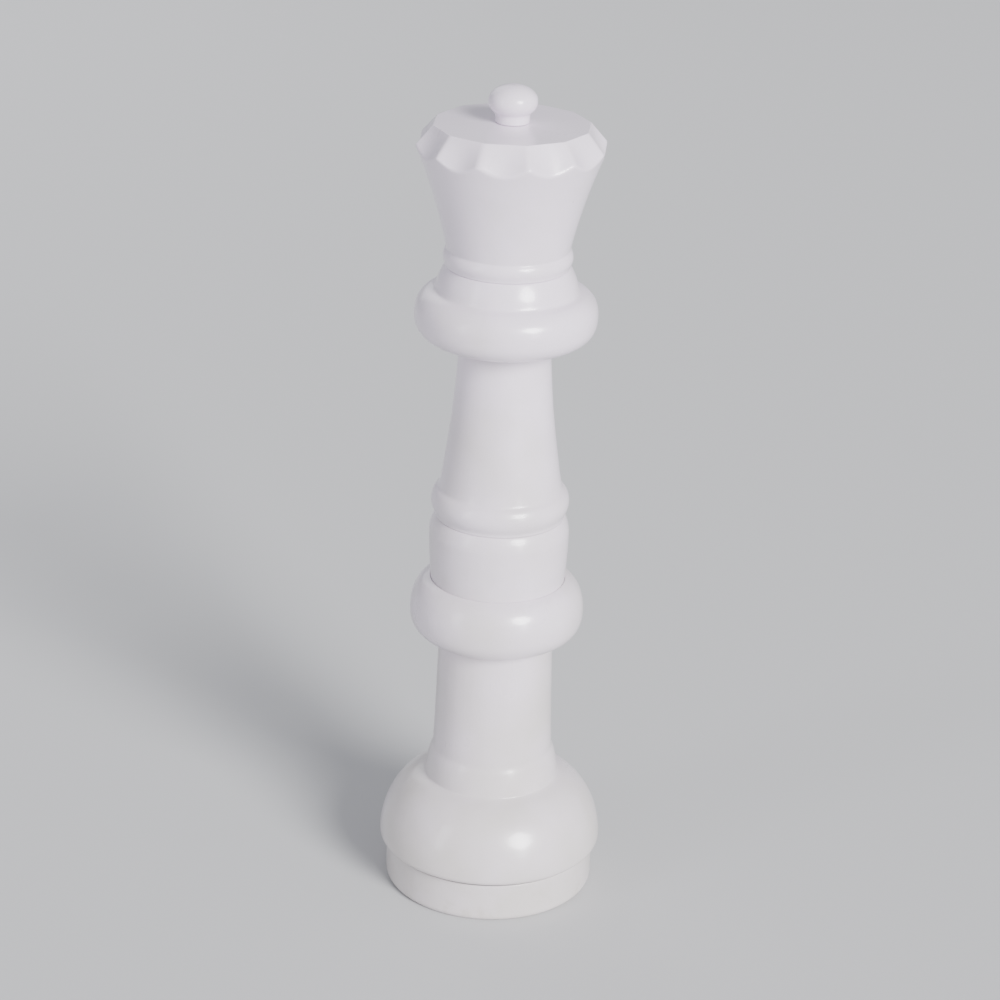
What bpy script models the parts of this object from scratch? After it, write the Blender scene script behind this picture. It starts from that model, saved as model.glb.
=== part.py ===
"""Giant lawn-chess queen, as the push-fit stack of hollow plastic sections that it comes apart into.

Metres, +Z up. The origin is the centre of the ring that the piece stands on, on the ground.
From the ground up: foot cap with its filler bung, base shell, plinth, body, crown and finial.
Every section above the base drops a spigot into the neck of the one below it, and a rubber ring
in a groove round the spigot takes up the slack of the blow-moulded necks.
"""

import math

import bmesh
import bpy
from mathutils import Matrix, Vector

# ---- walls, fits and how finely round things are divided ----
WALL = 0.0032
SEAT_GAP = 0.0003
FIT = 0.0005
TURN_STEPS = 24

# ---- foot cap ----
FOOT_RADIUS = 0.1117
FOOT_HEIGHT = 0.0432
FOOT_EDGE = 0.006
FOOT_LIP = 0.019
STAND_RING_WIDTH = 0.011
FLOOR_RAISE = 0.0105
RIB_COUNT = 8
RIB_THICKNESS = 0.003
RIB_CLEAR_OF_GROUND = 0.003
FOOT_SEAL_THICKNESS = 0.0014
FOOT_SEAL_INSET = 0.0009
FOOT_EDGE_STEPS = 3
RIB_CLEAR_OF_BUNG = 0.003

# ---- filler bung in the foot cap ----
FILLER_RADIUS = 0.0200
BOSS_HEIGHT = 0.015
BUNG_SHANK_LENGTH = 0.018
BUNG_FLANGE_LAP = 0.0065
BUNG_FLANGE_THICKNESS = 0.0045
BUNG_SLOT_WIDTH = 0.005
BUNG_SLOT_LENGTH = 0.030
BUNG_SLOT_DEPTH = 0.0025
WASHER_THICKNESS = 0.0018

# ---- base shell ----
BULGE_RADIUS = 0.1190
BULGE_RISE = 0.006
BULGE_HEIGHT = 0.074
BULGE_TURN = math.radians(72.4)
BULGE_TUCK = 0.0018
STEP_OUT = 0.0077
STEP_HEIGHT = 0.034
STEP_LEDGE = 0.0015
STEP_SWELL = 0.0012
COLUMN_CLEAR = 0.0015
COLUMN_FLARE = 0.0036
COLUMN_HEIGHT = 0.1305
RING_RADIUS = 0.0915
RING_UNDER = 0.030
RING_OVER = 0.0355
RING_RECESS = 0.004
RING_FULLNESS = 2.5

# ---- plinth ----
BAND_FOOT_RADIUS = 0.0705
BAND_SWELL = 0.0006
BAND_RADIUS = 0.0732
BAND_HEIGHT = 0.0567
BAND_SHOULDER = 0.0175
SHOULDER_SWELL = 0.0012
GROOVE_RADIUS = 0.0675

# ---- body ----
BEAD_SWELL = 0.0061
BEAD_HEIGHT = 0.0325
TAPER_FOOT_RADIUS = 0.0642
TAPER_TOP_RADIUS = 0.0470
TAPER_HEIGHT = 0.1585
TAPER_HOLLOW = 0.0029
COLLAR_RADIUS = 0.0935
COLLAR_UNDER = 0.0315
COLLAR_OVER = 0.024
COLLAR_FULLNESS = 2.8
COLLAR_STEP_RADIUS = 0.0735
COLLAR_STEP_HEIGHT = 0.025
COLLAR_STEP_SWELL = 0.001

# ---- crown ----
NECK_NOTCH_RADIUS = 0.0634
NECK_BEAD_SWELL = 0.0028
NECK_BEAD_HEIGHT = 0.0182
CROWN_FOOT_RADIUS = 0.0624
CROWN_FLARE_HEIGHT = 0.108
CROWN_MOUTH_RADIUS = 0.0965
CROWN_FLARE_HOLLOW = 0.0028
CROWN_RIM_HEIGHT = 0.019
CROWN_TOP_RADIUS = 0.0820
CROWN_DOME = 0.0018
CROWN_BRIM = 0.006
CROWN_BOSS_HEIGHT = 0.010
SCALLOP_COUNT = 12
SCALLOP_TURN = math.radians(10.5)
SCALLOP_BITE = 0.0017
SCALLOP_FOOT_DROP = 0.008
SCALLOP_LEAN = 0.552
SCALLOP_HOLLOW = 0.0056
SCALLOP_STEPS = 4

# ---- finial ----
FINIAL_NECK_RADIUS = 0.0170
FINIAL_NECK_HEIGHT = 0.0088
FINIAL_BALL_RADIUS = 0.0246
FINIAL_BALL_HALF_HEIGHT = 0.0168
FINIAL_SEAT = 0.0045
FINIAL_LEAD_IN = 0.003
FINIAL_SHANK_LENGTH = 0.024

# ---- push-fit joints: radius of the neck that each spigot enters, and how far the spigot reaches ----
PLINTH_BORE = 0.0555
BODY_BORE = 0.0495
CROWN_BORE = 0.0415
NECK_LENGTH = 0.020
PLINTH_SPIGOT = 0.078
BODY_SPIGOT = 0.042
CROWN_SPIGOT = 0.036
RING_SECTION_RADIUS = 0.0011
RING_GROOVE_DROP = 0.010

# ---- corners ----
EDGE = 0.001

# ---- radii and heights that follow from the sizes above ----
BUNG_FLANGE_RADIUS = FILLER_RADIUS + BUNG_FLANGE_LAP
COLUMN_TOP_RADIUS = PLINTH_BORE + COLUMN_CLEAR + WALL
COLUMN_FOOT_RADIUS = COLUMN_TOP_RADIUS + COLUMN_FLARE
STEP_RADIUS = COLUMN_FOOT_RADIUS + STEP_OUT
FINIAL_SHANK_RADIUS = FINIAL_NECK_RADIUS - FINIAL_SEAT
FINIAL_BALL_FOOT = -math.acos(FINIAL_NECK_RADIUS / FINIAL_BALL_RADIUS)
SHELL_FOOT_Z = FOOT_HEIGHT + FOOT_SEAL_THICKNESS + 2 * SEAT_GAP
BULGE_Z = SHELL_FOOT_Z + BULGE_RISE
STEP_Z = BULGE_Z + BULGE_HEIGHT
COLUMN_Z = STEP_Z + STEP_HEIGHT
RING_FOOT_Z = COLUMN_Z + COLUMN_HEIGHT
RING_Z = RING_FOOT_Z + RING_UNDER
RING_TOP_Z = RING_Z + RING_OVER
BASE_DECK_Z = RING_TOP_Z - RING_RECESS
PLINTH_Z = BASE_DECK_Z + SEAT_GAP
PLINTH_TOP_Z = PLINTH_Z + BAND_HEIGHT + BAND_SHOULDER
BODY_Z = PLINTH_TOP_Z + SEAT_GAP
TAPER_Z = BODY_Z + BEAD_HEIGHT
COLLAR_FOOT_Z = TAPER_Z + TAPER_HEIGHT
COLLAR_Z = COLLAR_FOOT_Z + COLLAR_UNDER
COLLAR_STEP_Z = COLLAR_Z + COLLAR_OVER
BODY_TOP_Z = COLLAR_STEP_Z + COLLAR_STEP_HEIGHT
CROWN_Z = BODY_TOP_Z + SEAT_GAP
FLARE_Z = CROWN_Z + NECK_BEAD_HEIGHT
MOUTH_Z = FLARE_Z + CROWN_FLARE_HEIGHT
CROWN_RIM_Z = MOUTH_Z + CROWN_RIM_HEIGHT
CROWN_TOP_Z = CROWN_RIM_Z + CROWN_DOME
FINIAL_Z = CROWN_TOP_Z + SEAT_GAP
FINIAL_BALL_Z = FINIAL_Z + FINIAL_NECK_HEIGHT - math.sin(FINIAL_BALL_FOOT) * FINIAL_BALL_HALF_HEIGHT
SCALLOP_FOOT_Z = MOUTH_Z - SCALLOP_FOOT_DROP
SCALLOP_FOOT_RADIUS = CROWN_MOUTH_RADIUS - SCALLOP_BITE - SCALLOP_FOOT_DROP * (
    (CROWN_MOUTH_RADIUS - CROWN_FOOT_RADIUS) / CROWN_FLARE_HEIGHT
)

# ---- finishes: base colour, roughness ----
WHITE_PLASTIC = ("white_plastic", (0.86, 0.85, 0.86, 1.0), 0.34)
BLACK_RUBBER = ("black_rubber", (0.03, 0.03, 0.03, 1.0), 0.75)


# ---- outlines: lists of (radius, height) points ----
def ellipse(centre, across, up, start, end, steps, fullness=2.0):
    """Points of an ellipse from start to end degrees, from straight outwards. Over 2, fullness squares it."""
    points = []
    power = 2.0 / fullness
    for i in range(steps + 1):
        angle = math.radians(start + (end - start) * i / steps)
        out = math.copysign(abs(math.cos(angle)) ** power, math.cos(angle))
        rise = math.copysign(abs(math.sin(angle)) ** power, math.sin(angle))
        points.append((centre[0] + across * out, centre[1] + up * rise))
    return points


def bow(start, end, sag, steps):
    """A shallow curve from start to end that stands off their straight line by sag, to its right."""
    run, rise = end[0] - start[0], end[1] - start[1]
    length = math.hypot(run, rise)
    points = []
    for i in range(steps + 1):
        t = i / steps
        off = 4 * t * (1 - t) * sag
        points.append((start[0] + run * t + off * rise / length, start[1] + rise * t - off * run / length))
    return points


def inside(outline):
    """The inner face of a wall, top first: the outline moved one wall thickness to its left."""
    inner = []
    for i in range(1, len(outline) - 1):
        before, here, after = (Vector(outline[j]) for j in (i - 1, i, i + 1))
        first, second = (here - before).normalized(), (after - here).normalized()
        normal = Vector((-first.y - second.y, first.x + second.x))
        corner = max(0.6, normal.length / 2)
        inner.append(tuple(here + normal.normalized() * WALL / corner))
    return inner[::-1]


def neck(bore, deck_z):
    """A deck and the turned-down neck that takes a spigot, from the deck's top to the wall's underside."""
    low = deck_z - NECK_LENGTH
    return [(bore, deck_z), (bore, low), (bore + WALL, low), (bore + WALL, deck_z - WALL)]


def spigot(bore, seat_z, length):
    """The tube that enters a neck, with its rubber ring's groove: down the outside and up the inside."""
    radius, low = bore - FIT, seat_z - length
    groove_z, half = seat_z - RING_GROOVE_DROP, RING_SECTION_RADIUS + SEAT_GAP
    floor = radius - 2 * RING_SECTION_RADIUS + FIT - 2 * SEAT_GAP
    lead_in = WALL / 2
    return [
        (radius, seat_z),
        (radius, groove_z + half),
        (floor, groove_z + half),
        (floor, groove_z - half),
        (radius, groove_z - half),
        (radius, low + lead_in),
        (radius - lead_in, low),
        (radius - WALL, low),
        (radius - WALL, seat_z + WALL),
    ]


# ---- making the pieces ----
def material(finish):
    """The finish's own Principled material, made once."""
    name, colour, roughness = finish
    found = bpy.data.materials.get(name)
    if found:
        return found
    made = bpy.data.materials.new(name)
    made.use_nodes = True
    shader = made.node_tree.nodes["Principled BSDF"]
    shader.inputs["Base Color"].default_value = colour
    shader.inputs["Roughness"].default_value = roughness
    return made


def add_object(name, mesh_maker, finish):
    """A scene object called name from a filled bmesh, shaded smooth but for its real corners."""
    mesh = bpy.data.meshes.new(name)
    bmesh.ops.recalc_face_normals(mesh_maker, faces=mesh_maker.faces)
    mesh_maker.to_mesh(mesh)
    mesh_maker.free()
    mesh.shade_smooth()
    mesh.set_sharp_from_angle(angle=math.radians(35))
    mesh.materials.append(material(finish))
    thing = bpy.data.objects.new(name, mesh)
    bpy.context.scene.collection.objects.link(thing)
    return thing


def turned(name, outline, finish):
    """A closed outline of (radius, height) points turned round Z. One that starts on the axis is solid."""
    shape = bmesh.new()
    corners = [shape.verts.new((radius, 0, height)) for radius, height in outline]
    pairs = list(zip(corners, corners[1:]))
    if outline[0][0] > 0:
        pairs.append((corners[-1], corners[0]))
    edges = [shape.edges.new(pair) for pair in pairs]
    bmesh.ops.spin(
        shape,
        geom=corners + edges,
        cent=(0, 0, 0),
        axis=(0, 0, 1),
        angle=math.tau,
        steps=TURN_STEPS,
        use_merge=True,
    )
    bmesh.ops.remove_doubles(shape, verts=shape.verts, dist=1e-6)
    return add_object(name, shape, finish)


def cut(thing, tool, operation):
    """A live Boolean of thing with tool, which is kept in the file as a guide."""
    tool.hide_render = True
    tool.display_type = "WIRE"
    modifier = thing.modifiers.new(tool.name, "BOOLEAN")
    modifier.operation = operation
    modifier.object = tool


def rubber_ring(name, bore, seat_z):
    """The ring in a spigot's groove, clear of the groove and of the neck."""
    centre = (bore - SEAT_GAP - RING_SECTION_RADIUS, seat_z - RING_GROOVE_DROP)
    section = ellipse(centre, RING_SECTION_RADIUS, RING_SECTION_RADIUS, 22.5, 337.5, 7)
    turned(name, section, BLACK_RUBBER)


def foot_cap():
    """The pan under the piece: it stands on an outer ring and carries the filler boss in its middle."""
    lip = FOOT_RADIUS - WALL - FIT
    stand = FOOT_RADIUS - FOOT_EDGE
    stand_in = stand - STAND_RING_WIDTH
    plate_top = FLOOR_RAISE + WALL
    boss = FILLER_RADIUS + FIT + WALL
    outline = [(stand_in, 0.0), (stand, 0.0)]
    outline += ellipse((stand, FOOT_EDGE), FOOT_EDGE, FOOT_EDGE, -60, 0, FOOT_EDGE_STEPS)
    outline += [
        (FOOT_RADIUS, FOOT_HEIGHT),
        (lip, FOOT_HEIGHT),
        (lip, FOOT_HEIGHT + FOOT_LIP),
        (lip - WALL, FOOT_HEIGHT + FOOT_LIP),
        (lip - WALL, plate_top),
        (boss, plate_top),
        (boss, plate_top + BOSS_HEIGHT),
        (FILLER_RADIUS + FIT, plate_top + BOSS_HEIGHT),
        (FILLER_RADIUS + FIT, FLOOR_RAISE),
        (stand_in - WALL, FLOOR_RAISE),
    ]
    cap = turned("foot_cap", outline, WHITE_PLASTIC)
    cut(cap, foot_ribs(stand_in), "UNION")


def foot_ribs(reach):
    """Spokes under the cap's plate, between the bung's flange and the standing ring, joined to both."""
    start = BUNG_FLANGE_RADIUS + RIB_CLEAR_OF_BUNG
    length = reach - start
    height = FLOOR_RAISE - RIB_CLEAR_OF_GROUND + WALL / 2
    ribs = bmesh.new()
    for i in range(RIB_COUNT):
        place = Matrix.Rotation(math.tau * (i + 0.5) / RIB_COUNT, 4, "Z") @ Matrix.Translation(
            (start + length / 2, 0, RIB_CLEAR_OF_GROUND + height / 2)
        )
        bmesh.ops.create_cube(
            ribs, size=1, matrix=place @ Matrix.Diagonal((length, RIB_THICKNESS, height, 1))
        )
    return add_object("foot_ribs", ribs, WHITE_PLASTIC)


def foot_seal():
    """The flat gasket between the cap's shoulder and the base shell's rim, set in from the outside."""
    inner = FOOT_RADIUS - WALL - FIT + SEAT_GAP
    outer = FOOT_RADIUS - FOOT_SEAL_INSET
    low = FOOT_HEIGHT + SEAT_GAP
    high = low + FOOT_SEAL_THICKNESS
    turned("foot_seal", [(inner, low), (outer, low), (outer, high), (inner, high)], BLACK_RUBBER)


def filler_bung():
    """The screw bung, coin slot down, with its washer between the flange and the cap's plate."""
    washer_top = FLOOR_RAISE - SEAT_GAP
    washer_foot = washer_top - WASHER_THICKNESS
    flange_top = washer_foot - SEAT_GAP
    flange_foot = flange_top - BUNG_FLANGE_THICKNESS
    shank_top = flange_top + BUNG_SHANK_LENGTH
    bung = turned(
        "filler_bung",
        [
            (0, flange_foot),
            (BUNG_FLANGE_RADIUS, flange_foot),
            (BUNG_FLANGE_RADIUS, flange_top),
            (FILLER_RADIUS, flange_top),
            (FILLER_RADIUS, shank_top),
            (FILLER_RADIUS - WALL, shank_top),
            (FILLER_RADIUS - WALL, flange_top),
            (0, flange_top),
        ],
        WHITE_PLASTIC,
    )
    slot = bmesh.new()
    size = Matrix.Diagonal((BUNG_SLOT_LENGTH, BUNG_SLOT_WIDTH, 2 * BUNG_SLOT_DEPTH, 1))
    bmesh.ops.create_cube(slot, size=1, matrix=Matrix.Translation((0, 0, flange_foot)) @ size)
    cut(bung, add_object("coin_slot", slot, WHITE_PLASTIC), "DIFFERENCE")
    inner = FILLER_RADIUS + SEAT_GAP
    turned(
        "bung_washer",
        [
            (inner, washer_foot),
            (BUNG_FLANGE_RADIUS, washer_foot),
            (BUNG_FLANGE_RADIUS, washer_top),
            (inner, washer_top),
        ],
        BLACK_RUBBER,
    )


def base_shell():
    """Bulge, stepped shoulder, column and ring in one hollow moulding, open at both ends."""
    outline = [(FOOT_RADIUS, SHELL_FOOT_Z)]
    outline += bow((FOOT_RADIUS, SHELL_FOOT_Z + EDGE), (BULGE_RADIUS, BULGE_Z), BULGE_TUCK, 3)
    across = (BULGE_RADIUS - STEP_RADIUS - STEP_LEDGE) / (1 - math.cos(BULGE_TURN))
    rise = BULGE_HEIGHT / math.sin(BULGE_TURN)
    outline += ellipse((BULGE_RADIUS - across, BULGE_Z), across, rise, 10, math.degrees(BULGE_TURN), 6)
    outline += bow((STEP_RADIUS, STEP_Z + EDGE), (COLUMN_FOOT_RADIUS, COLUMN_Z), STEP_SWELL, 4)
    outline += [(COLUMN_TOP_RADIUS, RING_FOOT_Z)]
    under = RING_RADIUS - COLUMN_TOP_RADIUS
    outline += ellipse((COLUMN_TOP_RADIUS, RING_Z), under, RING_UNDER, -81, 0, 6, RING_FULLNESS)
    lip = BAND_FOOT_RADIUS + FIT
    over = RING_RADIUS - lip + WALL
    outline += ellipse((RING_RADIUS - over, RING_Z), over, RING_OVER, 14, 76, 4)
    outline += [(lip, RING_TOP_Z)]
    inner_wall = [point for point in inside(outline) if point[1] < BASE_DECK_Z - WALL - FIT]
    seat = [(lip, BASE_DECK_Z)] + neck(PLINTH_BORE, BASE_DECK_Z)
    rim = [(FOOT_RADIUS - WALL, SHELL_FOOT_Z)]
    turned("base_shell", outline + seat + inner_wall + rim, WHITE_PLASTIC)


def plinth_shell():
    """The plain band and its sloped shoulder, which the body stands on."""
    band_top = (BAND_RADIUS, PLINTH_Z + BAND_HEIGHT)
    outline = bow((BAND_FOOT_RADIUS, PLINTH_Z), band_top, BAND_SWELL, 3)
    outline += bow(band_top, (GROOVE_RADIUS, PLINTH_TOP_Z), SHOULDER_SWELL, 4)[1:]
    inner_wall = [
        (GROOVE_RADIUS - WALL, PLINTH_TOP_Z - WALL),
        (BAND_RADIUS - WALL, PLINTH_Z + BAND_HEIGHT - WALL),
        (BAND_FOOT_RADIUS - WALL, PLINTH_Z + WALL),
    ]
    foot = spigot(PLINTH_BORE, PLINTH_Z, PLINTH_SPIGOT)
    turned(
        "plinth_shell",
        outline + neck(BODY_BORE, PLINTH_TOP_Z) + inner_wall + foot[::-1],
        WHITE_PLASTIC,
    )


def body_shell():
    """Bead, tapered column and collar in one hollow moulding."""
    outline = [(GROOVE_RADIUS, BODY_Z)]
    taper_foot = (TAPER_FOOT_RADIUS, TAPER_Z)
    outline += bow((GROOVE_RADIUS, BODY_Z + 3 * EDGE), taper_foot, BEAD_SWELL, 6)
    outline += bow(taper_foot, (TAPER_TOP_RADIUS, COLLAR_FOOT_Z), -TAPER_HOLLOW, 5)[1:]
    under = COLLAR_RADIUS - TAPER_TOP_RADIUS
    outline += ellipse((TAPER_TOP_RADIUS, COLLAR_Z), under, COLLAR_UNDER, -83, 0, 7, COLLAR_FULLNESS)
    over = COLLAR_RADIUS - COLLAR_STEP_RADIUS + WALL
    outline += ellipse((COLLAR_RADIUS - over, COLLAR_Z), over, COLLAR_OVER, 18, 78, 4)
    step_foot = (COLLAR_STEP_RADIUS, COLLAR_STEP_Z + EDGE)
    outline += bow(step_foot, (NECK_NOTCH_RADIUS, BODY_TOP_Z), COLLAR_STEP_SWELL, 3)
    low, high = BODY_Z + WALL + FIT, BODY_TOP_Z - WALL - FIT
    inner_wall = [point for point in inside(outline) if low < point[1] < high]
    foot = spigot(BODY_BORE, BODY_Z, BODY_SPIGOT)
    turned("body_shell", outline + neck(CROWN_BORE, BODY_TOP_Z) + inner_wall + foot[::-1], WHITE_PLASTIC)


def crown_shell():
    """Neck bead and flared crown, its rim scooped by a ring of hollow scallops."""
    outline = [(NECK_NOTCH_RADIUS, CROWN_Z)]
    flare_foot = (CROWN_FOOT_RADIUS, FLARE_Z)
    flare = bow(flare_foot, (CROWN_MOUTH_RADIUS, MOUTH_Z), -CROWN_FLARE_HOLLOW, 6)
    outline += bow((NECK_NOTCH_RADIUS, CROWN_Z + 2 * EDGE), flare_foot, NECK_BEAD_SWELL, 4)[:-1]
    outline += flare
    outline += [(CROWN_MOUTH_RADIUS, CROWN_RIM_Z - CROWN_BRIM), (CROWN_TOP_RADIUS, CROWN_RIM_Z)]
    hole = FINIAL_SHANK_RADIUS + FIT
    outline += [(hole, CROWN_TOP_Z)]
    top_under = CROWN_RIM_Z - WALL
    boss_foot = CROWN_TOP_Z - CROWN_BOSS_HEIGHT
    scallop_in = SCALLOP_FOOT_RADIUS - 2 * WALL - SCALLOP_LEAN * (top_under - SCALLOP_FOOT_Z)
    inner_wall = [
        (hole, boss_foot),
        (hole + WALL, boss_foot),
        (hole + WALL, CROWN_TOP_Z - WALL),
        (scallop_in, top_under),
        (SCALLOP_FOOT_RADIUS - 1.6 * WALL, SCALLOP_FOOT_Z),
    ]
    inner_wall += [point for point in inside(flare) if point[1] < SCALLOP_FOOT_Z - 2 * WALL]
    inner_wall += [(CROWN_FOOT_RADIUS - WALL, CROWN_Z + WALL)]
    foot = spigot(CROWN_BORE, CROWN_Z, CROWN_SPIGOT)
    crown = turned("crown_shell", outline + inner_wall + foot[::-1], WHITE_PLASTIC)
    cut(crown, scallop_block(), "INTERSECT")


def scallop_block():
    """A leaning prism whose outline is a ring of hollow arcs. What lies outside it is scooped off the rim."""
    low, high = CROWN_Z - CROWN_SPIGOT - WALL, CROWN_TOP_Z + WALL
    block = bmesh.new()
    rings = []
    for z in (low, high):
        apothem = SCALLOP_FOOT_RADIUS - SCALLOP_LEAN * (z - SCALLOP_FOOT_Z)
        half_side = apothem * math.tan(math.pi / SCALLOP_COUNT)
        hollow = SCALLOP_HOLLOW * (CROWN_RIM_Z - z) / CROWN_RIM_HEIGHT
        ring = []
        for side in range(SCALLOP_COUNT):
            turn = Matrix.Rotation(SCALLOP_TURN + math.tau * (side + 0.5) / SCALLOP_COUNT, 3, "Z")
            for step in range(SCALLOP_STEPS):
                across = 2 * step / SCALLOP_STEPS - 1
                out = apothem + hollow * across * across
                side_on = across * half_side * out / apothem
                ring.append(block.verts.new(turn @ Vector((out, side_on, z))))
        block.faces.new(ring)
        rings.append(ring)
    for i in range(len(rings[0])):
        j = (i + 1) % len(rings[0])
        block.faces.new((rings[0][i], rings[0][j], rings[1][j], rings[1][i]))
    return add_object("scallop_block", block, WHITE_PLASTIC)


def finial():
    """The flattened ball on its neck, with the shank that plugs the crown's hole."""
    low = FINIAL_Z - FINIAL_SHANK_LENGTH
    outline = [
        (0, low),
        (FINIAL_SHANK_RADIUS - FINIAL_LEAD_IN / 2, low),
        (FINIAL_SHANK_RADIUS, low + FINIAL_LEAD_IN),
        (FINIAL_SHANK_RADIUS, FINIAL_Z),
        (FINIAL_NECK_RADIUS, FINIAL_Z),
    ]
    centre, start = (0, FINIAL_BALL_Z), math.degrees(FINIAL_BALL_FOOT)
    ball = ellipse(centre, FINIAL_BALL_RADIUS, FINIAL_BALL_HALF_HEIGHT, start, 90, 10)
    outline += ball[:-1] + [(0, FINIAL_BALL_Z + FINIAL_BALL_HALF_HEIGHT)]
    turned("finial", outline, WHITE_PLASTIC)


for old in list(bpy.data.objects):
    bpy.data.objects.remove(old)
foot_cap()
foot_seal()
filler_bung()
base_shell()
rubber_ring("plinth_ring", PLINTH_BORE, PLINTH_Z)
plinth_shell()
rubber_ring("body_ring", BODY_BORE, BODY_Z)
body_shell()
rubber_ring("crown_ring", CROWN_BORE, CROWN_Z)
crown_shell()
finial()
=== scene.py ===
"""Looks of the giant lawn-chess queen.

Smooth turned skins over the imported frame, their plastic and rubber finishes, a pale studio and
the camera.
"""

import math

import bmesh
import bpy
from mathutils import Matrix, Vector


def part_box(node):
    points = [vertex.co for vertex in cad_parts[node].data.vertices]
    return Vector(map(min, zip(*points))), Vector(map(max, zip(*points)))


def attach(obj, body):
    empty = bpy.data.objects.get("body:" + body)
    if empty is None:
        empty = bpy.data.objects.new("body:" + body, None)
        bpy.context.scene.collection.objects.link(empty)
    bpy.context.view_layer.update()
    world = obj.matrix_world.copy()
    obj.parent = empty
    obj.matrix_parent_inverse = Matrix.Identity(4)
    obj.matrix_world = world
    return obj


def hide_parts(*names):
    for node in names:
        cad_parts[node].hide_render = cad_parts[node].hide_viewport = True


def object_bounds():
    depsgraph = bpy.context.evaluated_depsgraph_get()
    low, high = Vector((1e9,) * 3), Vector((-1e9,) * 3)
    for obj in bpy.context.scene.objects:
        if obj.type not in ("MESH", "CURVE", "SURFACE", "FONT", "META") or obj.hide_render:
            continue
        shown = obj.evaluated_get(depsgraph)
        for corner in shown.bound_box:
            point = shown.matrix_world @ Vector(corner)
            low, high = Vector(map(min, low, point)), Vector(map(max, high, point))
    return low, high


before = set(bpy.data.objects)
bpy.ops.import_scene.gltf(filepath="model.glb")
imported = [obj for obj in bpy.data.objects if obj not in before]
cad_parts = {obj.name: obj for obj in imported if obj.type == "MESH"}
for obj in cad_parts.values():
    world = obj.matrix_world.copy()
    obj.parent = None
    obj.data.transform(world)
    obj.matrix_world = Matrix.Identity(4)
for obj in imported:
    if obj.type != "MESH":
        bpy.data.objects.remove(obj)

cad_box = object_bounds()

# ---- how the skins are turned ----
COLUMNS = 288
SEAL_COLUMNS = 192
RING_STEPS = 16
FINE_STEP = 0.0022
COARSE_STEP = 0.009
CORNER = math.radians(33)
EDGE_ROUND = 0.0009
SEAL_EDGE_ROUND = 0.0003
CREASE_ROUND = 0.0035
EASE_SHARE = 0.4
EASE_STEPS = 3
SHORTEST = 1e-9
MERGE = 2e-6
ON_PLANE = 2e-6

# ---- the mould: its parting line, and how unevenly the plastic filled it ----
PARTING_TURN = math.radians(9)
PARTING_CROWD = 0.82
PARTING_HEIGHT = 0.00022
PARTING_WIDTH = 0.0007
SINK = 0.00030

# ---- scallops of the crown ----
SCALLOP_COUNT = 12
SCALLOP_TURN = math.radians(10.5)
SCALLOP_LEAN = 0.552
SCALLOP_HOLLOW = 0.0056
SCALLOP_FOOT_DROP = 0.008
SCALLOP_BITE = 0.0017
SCALLOP_SOFT = 0.0016
CROWN_RIM_HEIGHT = 0.019
CROWN_MOUTH_RADIUS = 0.0965
CROWN_BRIM_ROUND = 0.006
CROWN_BRIM_STEPS = 6
CROWN_MOUTH_STEPS = 2
CROWN_HOLE_LAND = 0.002
CROWN_DOME = 0.0018

# ---- spokes under the foot cap ----
SPOKES = 8
SPOKE_WIDTH = 0.003
SPOKE_CLEAR_OF_BUNG = 0.003
SPOKE_CLEAR_OF_GROUND = 0.003
SPOKE_ROOT = 0.001
STAND_RING = 0.017
CAP_FLOOR_RAISE = 0.0105
CAP_WALL = 0.0032

# ---- noises: scale, detail, roughness, seed ----
SINK_NOISE = (9.0, 1.0, 0.4, 0.0)
DRIFT_NOISE = (11.0, 2.5, 0.5, 1.0)
FLOW_NOISE = (1.0, 3.0, 0.55, 2.0)
SCUFF_NOISE = (1.0, 4.0, 0.7, 3.0)
DUST_NOISE = (55.0, 6.0, 0.62, 4.0)
SKIN_NOISE = (520.0, 2.0, 0.5, 5.0)
BLOOM_NOISE = (90.0, 4.0, 0.6, 6.0)
GRAIN_NOISE = (1400.0, 2.0, 0.5, 7.0)
NOISE_MIDDLE = 0.5
OBJECT_COORDINATES = 3

# ---- white plastic ----
LILAC_WHITE = (0.875, 0.785, 0.895, 1)
# Painted shade: the next colour and the two numbers after it darken and warm the plastic more the nearer
# it is to the foot; the clouds are the plastic's own mottling.
SHADED_WARM_WHITE = (0.655, 0.61, 0.6, 1)
FOOT_PAINTED_SHADE = 0.92
PAINTED_SHADE_FADE = 1.15
WARM_CLOUDS = 1.7
GRIME_COLOUR = (0.50, 0.47, 0.41, 1)
GRIME_HEIGHT = 0.05
GRIME_FROM = 0.52
GRIME_GAIN = 3.2
GRIME_NEAR_GROUND = 0.8
GRIME_EVERYWHERE = 0.10
GRIME_MOST = 0.45
FLOW_STRETCH = (60.0, 60.0, 4.0)
SCUFF_STRETCH = (25.0, 25.0, 330.0)
SCUFF_COLOUR = (0.62, 0.61, 0.60, 1)
SCUFF_FROM = 0.60
SCUFF_GAIN = 7.0
SCUFF_TINT = 0.10
WHITE_ROUGH = {"even": 0.31, "drift": 0.22, "flow": 0.06, "scuff": 0.16, "grime": 0.35}
WHITE_COAT = {"even": 0.55, "scuff": 0.3, "grime": 0.4}
WHITE_RELIEF = {"skin": 0.35, "flow": 0.8, "scuff": -0.25}
WHITE_BUMP = {"Strength": 0.35, "Distance": 0.0008}

# ---- black rubber ----
BLACK = (0.018, 0.018, 0.019, 1)
BLOOM_GREY = (0.055, 0.054, 0.052, 1)
BLOOM_FROM = 0.35
BLOOM_GAIN = 1.4
RUBBER_ROUGH = {"even": 0.62, "bloom": 0.25}
RUBBER_BUMP = {"Strength": 0.25, "Distance": 0.0002}

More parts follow.
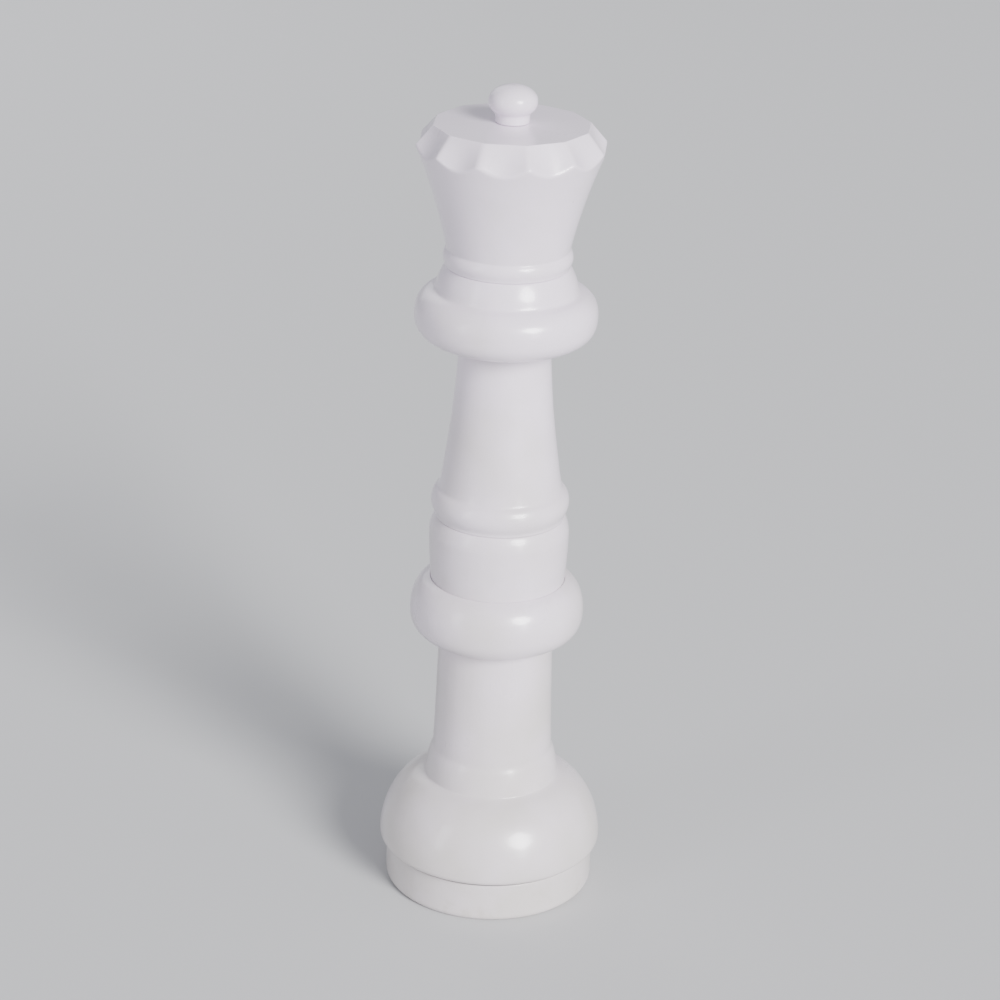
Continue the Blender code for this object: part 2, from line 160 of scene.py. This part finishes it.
# ---- studio ----
CAMERA_AT = Vector((0.0, -2.764, 1.6145))
CAMERA_AIM = Vector((0.0, 0.0, 0.440))
CAMERA_LENS = 104
CAMERA_ROLL = math.radians(1.9)
FLOOR_SIZE = 60.0
FLOOR_COLOUR = (0.56, 0.56, 0.57, 1)
FLOOR_ROUGHNESS = 0.9
ROOM_COLOUR = (0.92, 0.94, 1.0, 1)
ROOM_LIGHT = 0.55
MIDDLE = Vector((0.0, 0.0, 0.45))
KEY_FROM = Vector((0.72, -1.0, 0.62))
KEY_LIGHT = 5.6
KEY_SPREAD = math.radians(24)
PANELS = (
    # name, place, width, height, power, colour
    ("front_right", (2.6, -3.6, 1.7), 0.7, 3.0, 60, (1.0, 0.985, 0.99)),
    ("fill_left", (-3.4, -2.6, 1.7), 0.8, 3.0, 34, (0.93, 0.94, 1.0)),
    ("rim_back", (-1.8, 4.0, 2.6), 2.2, 3.0, 30, (0.95, 0.96, 1.0)),
)


# ---- node helpers ----
class Value:
    """A node socket in a tree that can be added, multiplied and compared like a number."""

    def __init__(self, tree, socket):
        self.tree = tree
        self.socket = socket

    def maths(self, operation, *values):
        return self.tree.node("ShaderNodeMath", {"operation": operation}, dict(enumerate(values)))

    def __add__(self, other):
        return self.maths("ADD", self, other)

    __radd__ = __add__

    def __sub__(self, other):
        return self.maths("SUBTRACT", self, other)

    def __rsub__(self, other):
        return self.maths("SUBTRACT", other, self)

    def __mul__(self, other):
        return self.maths("MULTIPLY", self, other)

    __rmul__ = __mul__

    def __truediv__(self, other):
        return self.maths("DIVIDE", self, other)

    def least(self, other):
        return self.maths("MINIMUM", self, other)

    def most(self, other):
        return self.maths("MAXIMUM", self, other)

    def of(self, operation, *others):
        return self.maths(operation, self, *others)


class Tree:
    """A node tree being built, for a shader or for geometry."""

    def __init__(self, nodes_of):
        self.nodes_of = nodes_of

    def node(self, kind, settings=None, inputs=None, output=0):
        """A new node, given its settings and the values or links of its sockets: one of its outputs."""
        made = self.nodes_of.nodes.new(kind)
        for name, value in (settings or {}).items():
            setattr(made, name, value)
        for name, value in (inputs or {}).items():
            if isinstance(value, Value):
                self.nodes_of.links.new(value.socket, made.inputs[name])
            else:
                made.inputs[name].default_value = value
        return Value(self, made.outputs[output])

    def xyz(self, vector):
        split = self.node("ShaderNodeSeparateXYZ", None, {0: vector})
        return [Value(self, socket) for socket in split.socket.node.outputs]

    def joined(self, x, y, z):
        return self.node("ShaderNodeCombineXYZ", None, {0: x, 1: y, 2: z})

    def noise(self, at, scale, detail, roughness, seed):
        inputs = {"Vector": at, "Scale": scale, "Detail": detail, "Roughness": roughness, "W": seed}
        return self.node("ShaderNodeTexNoise", {"noise_dimensions": "4D"}, inputs)

    def feed(self, shader, **values):
        """Links values to a shader's sockets, whose names take _ for a space."""
        for name, value in values.items():
            self.nodes_of.links.new(value.socket, shader.inputs[name.replace("_", " ")])


# ---- outlines taken from the frame ----
def section(node):
    """The outline of a turned CAD solid, as (radius, height) corners in order round it."""
    shape = bmesh.new()
    shape.from_mesh(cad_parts[node].data)
    bmesh.ops.remove_doubles(shape, verts=shape.verts, dist=MERGE)
    on_plane = {v for v in shape.verts if abs(v.co.y) < ON_PLANE and v.co.x > -ON_PLANE}
    links = {
        v: [e.other_vert(v) for e in v.link_edges if e.other_vert(v) in on_plane] for v in on_plane
    }
    ends = [v for v in on_plane if len(links[v]) == 1]
    if ends:
        start = max(ends, key=lambda v: (v.co.z, -v.co.x))
    else:
        start = min(on_plane, key=lambda v: (v.co.z, v.co.x))
    walk, here, before = [start], start, None
    while True:
        ahead = [v for v in links[here] if v is not before]
        if not ahead or ahead[0] is start:
            break
        before, here = here, ahead[0]
        walk.append(here)
    points = [(v.co.x, v.co.z) for v in walk]
    shape.free()
    return points


def turn_at(points, i):
    """How sharply a closed outline turns at its point i."""
    before, here, after = (Vector(points[j % len(points)]) for j in (i - 1, i, i + 1))
    return abs((here - before).angle_signed(after - here, 0.0))


def smoothed(points, edge_round=EDGE_ROUND, crease_above=math.inf):
    """The closed outline, its even stretches drawn as flowing curves and its corners kept but eased.

    Corners higher than crease_above are eased far more. A corner on the axis is left as it is.
    """
    count = len(points)
    place = [Vector(p) for p in points]
    corner = [turn_at(points, i) > CORNER for i in range(count)]
    ease = [0.0] * count
    for i, here in enumerate(place):
        if corner[i] and here.x >= ON_PLANE:
            ease[i] = CREASE_ROUND if here.y > crease_above else edge_round
    out = []
    for i in range(count):
        j, k = (i + 1) % count, (i + 2) % count
        a, b = place[i], place[j]
        length = (b - a).length
        straight = corner[i] and corner[j]
        steps = max(1, math.ceil(length / (COARSE_STEP if straight else FINE_STEP)))
        start_dir = b - a if corner[i] else scaled(b - place[i - 1], length)
        end_dir = b - a if corner[j] else scaled(place[k] - a, length)
        trim_a = min(ease[i], length * EASE_SHARE) / length
        trim_b = min(ease[j], length * EASE_SHARE) / length
        for step in range(steps + 1 if corner[j] else steps):
            t = trim_a + (1 - trim_a - trim_b) * step / steps
            out.append(hermite(a, b, start_dir, end_dir, t))
        if ease[j]:
            ahead = place[k] - b
            reach = min(ease[j], ahead.length * EASE_SHARE)
            out += rounding(out[-1], b, b + ahead.normalized() * reach)
    low, high = min(z for _, z in points), max(z for _, z in points)
    widest = max(radius for radius, _ in points)
    return [(min(max(0.0, p.x), widest), min(max(low, p.y), high)) for p in out]


def scaled(direction, length):
    """The direction, at that length."""
    return direction * (length / max(direction.length, SHORTEST))


def hermite(a, b, start_dir, end_dir, t):
    """A point at t on the curve from a to b that leaves along start_dir and arrives along end_dir."""
    square, cube = t * t, t * t * t
    return (
        a * (2 * cube - 3 * square + 1)
        + start_dir * (cube - 2 * square + t)
        + b * (3 * square - 2 * cube)
        + end_dir * (cube - square)
    )


def rounding(a, corner, b):
    """The points between a and b of the soft curve that cuts off a corner."""
    points = []
    for step in range(1, EASE_STEPS):
        t = step / EASE_STEPS
        points.append(a * (1 - t) ** 2 + corner * (2 * t * (1 - t)) + b * t * t)
    return points


# ---- geometry trees ----
def geometry_tree(name, wanted):
    """A geometry tree whose inputs have these names, kinds and defaults. With it come their identifiers,
    by which a modifier sets them, and their values in the tree."""
    group = bpy.data.node_groups.new(name, "GeometryNodeTree")
    group.is_modifier = True
    group.interface.new_socket("Geometry", in_out="OUTPUT", socket_type="NodeSocketGeometry")
    sockets = {}
    for entry_name, kind, default in wanted:
        made = group.interface.new_socket(entry_name, in_out="INPUT", socket_type="NodeSocket" + kind)
        if default is not None:
            made.default_value = default
        sockets[entry_name] = made.identifier
    tree = Tree(group)
    entry = group.nodes.new("NodeGroupInput")
    return tree, sockets, {key: Value(tree, entry.outputs[key]) for key in sockets}


def turning_tree():
    """Geometry nodes that turn an outline round Z, with a mould's parting line, sink and scallops."""
    tree, sockets, given = geometry_tree("turned_skin", [
        ("Geometry", "Geometry", None), ("Columns", "Int", COLUMNS), ("Corners", "Int", 4),
        ("Sink", "Float", 0.0), ("Parting height", "Float", 0.0), ("Scallops", "Int", 0),
        ("Scallop foot radius", "Float", 1.0), ("Scallop foot", "Float", 0.0), ("Rim", "Float", 1.0),
        ("Finish", "Material", None),
    ])
    rows = given["Corners"] + 1
    grid = tree.node("GeometryNodeMeshGrid", None, {
        "Size X": 1.0, "Size Y": 1.0, "Vertices X": given["Columns"] + 1, "Vertices Y": rows,
    })
    index = tree.node("GeometryNodeInputIndex")
    column = (index / rows).of("FLOOR")
    row = index - column * rows
    source = row.of("MODULO", given["Corners"])
    position = tree.node("GeometryNodeInputPosition")
    outline = tree.node(
        "GeometryNodeSampleIndex", {"data_type": "FLOAT_VECTOR", "domain": "POINT"},
        {"Geometry": given["Geometry"], "Value": position, "Index": source},
    )
    radius, _, height = tree.xyz(outline)

    even = column / given["Columns"] * math.tau
    angle = even - ((even - PARTING_TURN) * 2).of("SINE") * (PARTING_CROWD / 2)
    cosine, sine = angle.of("COSINE"), angle.of("SINE")

    off_line = (angle - PARTING_TURN).of("SINE") * radius / PARTING_WIDTH
    ridge = (off_line * off_line * -1.0).of("EXPONENT") * given["Parting height"]
    swell = tree.noise(tree.joined(cosine * radius, sine * radius, height), *SINK_NOISE)
    skin = radius - given["Sink"] * swell + ridge

    slot = given["Scallops"].most(1)
    share = ((angle - SCALLOP_TURN) / math.tau * slot).of("FRACT")
    across = share * 2 - 1
    apothem = given["Scallop foot radius"] - (height - given["Scallop foot"]) * SCALLOP_LEAN
    hollow = (given["Rim"] - height) * (SCALLOP_HOLLOW / CROWN_RIM_HEIGHT)
    side_angle = across * (math.pi / SCALLOP_COUNT)
    reach = (apothem + hollow * across * across) / side_angle.of("COSINE")
    scooped = skin.of("SMOOTH_MIN", reach, SCALLOP_SOFT)
    has_scallops = given["Scallops"].of("GREATER_THAN", 0.5)
    shaped = (skin + (scooped - skin) * has_scallops).most(0.0)
    place = tree.joined(cosine * shaped, sine * shaped, height)
    moved = tree.node("GeometryNodeSetPosition", None, {"Geometry": grid, "Position": place})
    merged = tree.node("GeometryNodeMergeByDistance", None, {"Geometry": moved, "Distance": MERGE})
    finish_off(tree, merged, given["Finish"])
    return tree.nodes_of, sockets


def finish_off(tree, geometry, finish):
    """Makes the instances real, gives them their material and hands the geometry out of the tree."""
    real = tree.node("GeometryNodeRealizeInstances", None, {"Geometry": geometry})
    finished = tree.node("GeometryNodeSetMaterial", None, {"Geometry": real, "Material": finish})
    leave = tree.nodes_of.nodes.new("NodeGroupOutput")
    tree.nodes_of.links.new(finished.socket, leave.inputs["Geometry"])


def in_scene(name, data):
    """A new object of the scene."""
    made = bpy.data.objects.new(name, data)
    bpy.context.scene.collection.objects.link(made)
    return made


def grown(name, start, group, sockets, settings):
    """A piece grown by geometry nodes from a starting mesh, made plain, merged and facing outwards."""
    carrier = in_scene(name + "_carrier", start)
    modifier = carrier.modifiers.new(group.name, "NODES")
    modifier.node_group = group
    for key, value in settings.items():
        modifier[sockets[key]] = value
    bpy.context.view_layer.update()
    evaluated = carrier.evaluated_get(bpy.context.evaluated_depsgraph_get())
    mesh = bpy.data.meshes.new_from_object(evaluated)
    carrier.modifiers.clear()
    bpy.data.objects.remove(carrier)
    shape = bmesh.new()
    shape.from_mesh(mesh)
    bmesh.ops.remove_doubles(shape, verts=shape.verts, dist=MERGE)
    bmesh.ops.dissolve_degenerate(shape, edges=shape.edges, dist=MERGE)
    bmesh.ops.recalc_face_normals(shape, faces=shape.faces)
    shape.to_mesh(mesh)
    shape.free()
    mesh.shade_smooth()
    mesh.name = name
    return in_scene(name, mesh)


def turned(name, points, finish, sink=0.0, parting=0.0, columns=COLUMNS, scallops=None):
    """A skin turned from an outline of (radius, height) points."""
    mesh = bpy.data.meshes.new(name + "_outline")
    mesh.from_pydata([(radius, 0.0, height) for radius, height in points], [], [])
    settings = {
        "Columns": columns, "Corners": len(points), "Sink": sink, "Parting height": parting,
        "Finish": finish,
    }
    settings.update(scallops or {})
    return grown(name, mesh, TURNING, TURNING_SOCKETS, settings)


def spokes_tree():
    """Geometry nodes that set a ring of radial ribs."""
    tree, sockets, given = geometry_tree("foot_spokes", [
        ("Geometry", "Geometry", None), ("Count", "Int", SPOKES), ("Length", "Float", 0.0),
        ("Height", "Float", 0.0), ("Middle", "Float", 0.0), ("Level", "Float", 0.0),
        ("Finish", "Material", None),
    ])
    angle = (tree.node("GeometryNodeInputIndex") + 0.5) / given["Count"] * math.tau
    middle = given["Middle"]
    spot = tree.joined(angle.of("COSINE") * middle, angle.of("SINE") * middle, given["Level"])
    points = tree.node("GeometryNodePoints", None, {"Count": given["Count"], "Position": spot})
    size = tree.joined(given["Length"], SPOKE_WIDTH, given["Height"])
    rib = tree.node("GeometryNodeMeshCube", None, {"Size": size})
    placed = tree.node(
        "GeometryNodeInstanceOnPoints", None,
        {"Points": points, "Instance": rib, "Rotation": tree.joined(0.0, 0.0, angle)},
    )
    finish_off(tree, placed, given["Finish"])
    return tree.nodes_of, sockets


# ---- finishes ----
def new_finish(name, **fixed):
    """A material, its tree and its Principled shader, with fixed values on the shader's own sockets."""
    made = bpy.data.materials.new(name)
    made.use_nodes = True
    shader = made.node_tree.nodes["Principled BSDF"]
    for socket, value in fixed.items():
        shader.inputs[socket.replace("_", " ")].default_value = value
    return made, Tree(made.node_tree), shader


def mixed(tree, factor, first, second):
    """Two colours mixed by a factor."""
    settings = {"data_type": "RGBA", "clamp_factor": True}
    return tree.node("ShaderNodeMix", settings, {0: factor, 6: first, 7: second}, 2)


def cloud(noise):
    """A noise, about nought."""
    return noise - NOISE_MIDDLE


def moulded_white():
    """White blown plastic: faintly lilac and mottled, with painted shade that makes it darker and warmer
    low down, and with soft flow marks, scuffs and dust.
    """
    made, tree, shader = new_finish(
        "moulded_white", IOR=1.5, Coat_Roughness=0.13, Coat_IOR=1.5,
        Subsurface_Weight=0.10, Subsurface_Scale=0.004, Subsurface_Radius=(1.0, 0.95, 0.90),
    )
    at = tree.node("ShaderNodeTexCoord", None, None, OBJECT_COORDINATES)
    x, y, z = tree.xyz(at)
    drift = tree.noise(at, *DRIFT_NOISE)
    level = z / cad_box[1].z
    # Painted shade: darker and warmer towards the foot, with the plastic's own mottling from the drift
    # clouds on top.
    shade_and_mottle = (FOOT_PAINTED_SHADE - level * PAINTED_SHADE_FADE + cloud(drift) * WARM_CLOUDS).most(0.0)
    base = mixed(tree, shade_and_mottle, LILAC_WHITE, SHADED_WARM_WHITE)

    dust = tree.noise(at, *DUST_NOISE)
    near_ground = ((GRIME_HEIGHT - z) / GRIME_HEIGHT).most(0.0)
    reach = near_ground * GRIME_NEAR_GROUND + GRIME_EVERYWHERE
    grime = ((dust - GRIME_FROM) * GRIME_GAIN * reach).most(0.0).least(GRIME_MOST)
    soiled = mixed(tree, grime, base, GRIME_COLOUR)

    flow = tree.noise(stretched(tree, (x, y, z), FLOW_STRETCH), *FLOW_NOISE)
    rub = tree.noise(stretched(tree, (x, y, z), SCUFF_STRETCH), *SCUFF_NOISE)
    scuff = ((rub - SCUFF_FROM) * SCUFF_GAIN).most(0.0).least(1.0)
    marked = mixed(tree, scuff * SCUFF_TINT, soiled, SCUFF_COLOUR)

    rough = (
        WHITE_ROUGH["even"] + cloud(drift) * WHITE_ROUGH["drift"] + cloud(flow) * WHITE_ROUGH["flow"]
        + scuff * WHITE_ROUGH["scuff"] + grime * WHITE_ROUGH["grime"]
    )
    coat = (WHITE_COAT["even"] - scuff * WHITE_COAT["scuff"] - grime * WHITE_COAT["grime"]).most(0.0)
    skin = tree.noise(at, *SKIN_NOISE)
    relief = (
        skin * WHITE_RELIEF["skin"] + flow * WHITE_RELIEF["flow"] + scuff * WHITE_RELIEF["scuff"]
    )
    bump = tree.node("ShaderNodeBump", None, {**WHITE_BUMP, "Height": relief})
    tree.feed(shader, Base_Color=marked, Roughness=rough, Coat_Weight=coat, Normal=bump)
    return made


def stretched(tree, place, scales):
    """A place whose three coordinates are each scaled."""
    return tree.joined(*(value * scale for value, scale in zip(place, scales)))


def seal_rubber():
    """Matt black rubber with a fine grain and a little bloom."""
    made, tree, shader = new_finish("seal_rubber", IOR=1.52)
    at = tree.node("ShaderNodeTexCoord", None, None, OBJECT_COORDINATES)
    bloom = tree.noise(at, *BLOOM_NOISE)
    colour = mixed(tree, (bloom - BLOOM_FROM) * BLOOM_GAIN, BLACK, BLOOM_GREY)
    rough = RUBBER_ROUGH["even"] + cloud(bloom) * RUBBER_ROUGH["bloom"]
    bump = tree.node("ShaderNodeBump", None, {**RUBBER_BUMP, "Height": tree.noise(at, *GRAIN_NOISE)})
    tree.feed(shader, Base_Color=colour, Roughness=rough, Normal=bump)
    return made


# ---- pieces ----
def stands_for(piece, node, body):
    """The piece takes the place of a CAD node, on its body."""
    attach(piece, body)
    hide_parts(node)


def moulding(node, body):
    """A blown section: the CAD outline drawn smooth and turned, with the marks of its mould."""
    piece = turned(node + "_skin", smoothed(section(node)), WHITE, SINK, PARTING_HEIGHT)
    stands_for(piece, node, body)


def finial():
    """The ball on its neck, closed across its foot, with the crease between neck and ball softened."""
    walk = section("finial")
    if walk[-1][0] > ON_PLANE:
        walk.append((0.0, walk[-1][1]))
    outline = smoothed(walk, crease_above=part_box("crown_shell")[1].z + CREASE_ROUND)
    piece = turned("finial_skin", outline, WHITE, parting=PARTING_HEIGHT)
    stands_for(piece, "finial", "finial")


def ring(node, body):
    """A round rubber ring, from the box of its CAD solid."""
    low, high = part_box(node)
    thick = (high.z - low.z) / 2
    centre, level = high.x - thick, (low.z + high.z) / 2
    circle = []
    for i in range(RING_STEPS):
        angle = math.tau * i / RING_STEPS
        circle.append((centre + thick * math.cos(angle), level + thick * math.sin(angle)))
    piece = turned(node + "_round", circle, RUBBER, columns=SEAL_COLUMNS)
    stands_for(piece, node, body)


def flat_seal(node, body):
    """A flat seal, its square outline with its edges eased."""
    outline = smoothed(section(node), edge_round=SEAL_EDGE_ROUND)
    piece = turned(node + "_flat", outline, RUBBER, columns=SEAL_COLUMNS)
    stands_for(piece, node, body)


def crown():
    """The flared crown: the CAD outline below its scallops, and above that turned and scooped."""
    walk = section("crown_shell")
    rim_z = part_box("crown_shell")[1].z - CROWN_DOME
    mouth_z = rim_z - CROWN_RIM_HEIGHT
    foot_z = mouth_z - SCALLOP_FOOT_DROP
    top, below, flare = walk[0], walk[-2], walk[-1]
    slope = (flare[0] - below[0]) / (flare[1] - below[1])
    foot_radius = flare[0] + slope * (foot_z - flare[1]) - SCALLOP_BITE
    upper = []
    for step in range(1, CROWN_MOUTH_STEPS + 1):
        t = step / CROWN_MOUTH_STEPS
        radius = flare[0] + (CROWN_MOUTH_RADIUS - flare[0]) * t
        upper.append((radius, flare[1] + (mouth_z - flare[1]) * t))
    for step in range(CROWN_BRIM_STEPS):
        angle = math.pi / 2 * step / CROWN_BRIM_STEPS
        upper.append((
            CROWN_MOUTH_RADIUS - CROWN_BRIM_ROUND * (1 - math.cos(angle)),
            rim_z - CROWN_BRIM_ROUND * (1 - math.sin(angle)),
        ))
    outline = smoothed(walk + upper + [(top[0] + CROWN_HOLE_LAND, top[1])])
    scallops = {
        "Scallops": SCALLOP_COUNT, "Scallop foot radius": foot_radius, "Scallop foot": foot_z,
        "Rim": rim_z,
    }
    piece = turned("crown_skin", outline, WHITE, parting=PARTING_HEIGHT, scallops=scallops)
    stands_for(piece, "crown_shell", "crown")


def spokes():
    """The ribs under the foot cap's plate, which run a little way into its standing ring."""
    group, sockets = spokes_tree()
    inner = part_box("filler_bung")[1].x + SPOKE_CLEAR_OF_BUNG
    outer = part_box("foot_cap")[1].x - STAND_RING
    low = SPOKE_CLEAR_OF_GROUND
    high = CAP_FLOOR_RAISE + CAP_WALL / 2
    settings = {
        "Count": SPOKES, "Length": outer - inner + SPOKE_ROOT, "Height": high - low,
        "Middle": (outer + inner) / 2, "Level": (high + low) / 2, "Finish": WHITE,
    }
    piece = grown("foot_spokes", bpy.data.meshes.new("foot_spokes_start"), group, sockets, settings)
    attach(piece, "foot")


# ---- studio ----
def studio():
    """A pale floor, a pale room, soft light round the piece, and the camera."""
    mesh = bpy.data.meshes.new("floor")
    half = FLOOR_SIZE / 2
    corners = [(-half, -half, 0), (half, -half, 0), (half, half, 0), (-half, half, 0)]
    mesh.from_pydata(corners, [], [(0, 1, 2, 3)])
    pale, _, _ = new_finish("pale_floor", Base_Color=FLOOR_COLOUR, Roughness=FLOOR_ROUGHNESS)
    mesh.materials.append(pale)
    in_scene("floor", mesh)

    world = bpy.data.worlds.new("pale_room")
    world.use_nodes = True
    world.node_tree.nodes["Background"].inputs["Color"].default_value = ROOM_COLOUR
    world.node_tree.nodes["Background"].inputs["Strength"].default_value = ROOM_LIGHT
    bpy.context.scene.world = world

    key = bpy.data.lights.new("key", "SUN")
    key.energy = KEY_LIGHT
    key.angle = KEY_SPREAD
    in_scene("key", key).rotation_euler = facing(-KEY_FROM).to_euler()

    for name, at, wide, tall, power, colour in PANELS:
        light = bpy.data.lights.new(name, "AREA")
        light.shape = "RECTANGLE"
        light.size = wide
        light.size_y = tall
        light.energy = power
        light.color = colour
        lamp = in_scene(name, light)
        lamp.location = at
        lamp.rotation_euler = facing(MIDDLE - Vector(at)).to_euler()

    lens = bpy.data.cameras.new("camera")
    lens.lens = CAMERA_LENS
    camera = in_scene("camera", lens)
    camera.location = CAMERA_AT
    look = facing(CAMERA_AIM - CAMERA_AT).to_matrix()
    camera.rotation_euler = (look @ Matrix.Rotation(CAMERA_ROLL, 3, "Z")).to_euler()
    bpy.context.scene.camera = camera


def facing(direction):
    """The turn of a lamp or a camera that looks along the direction."""
    return direction.to_track_quat("-Z", "Y")


WHITE = moulded_white()
RUBBER = seal_rubber()
TURNING, TURNING_SOCKETS = turning_tree()

studio()
moulding("foot_cap", "foot")
spokes()
flat_seal("foot_seal", "foot")
moulding("base_shell", "base")
moulding("plinth_shell", "plinth")
moulding("body_shell", "body")
crown()
finial()
for ring_body in ("plinth", "body", "crown"):
    ring(ring_body + "_ring", ring_body)
flat_seal("bung_washer", "bung_seal")
for bung_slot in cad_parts["filler_bung"].material_slots:
    bung_slot.material = WHITE
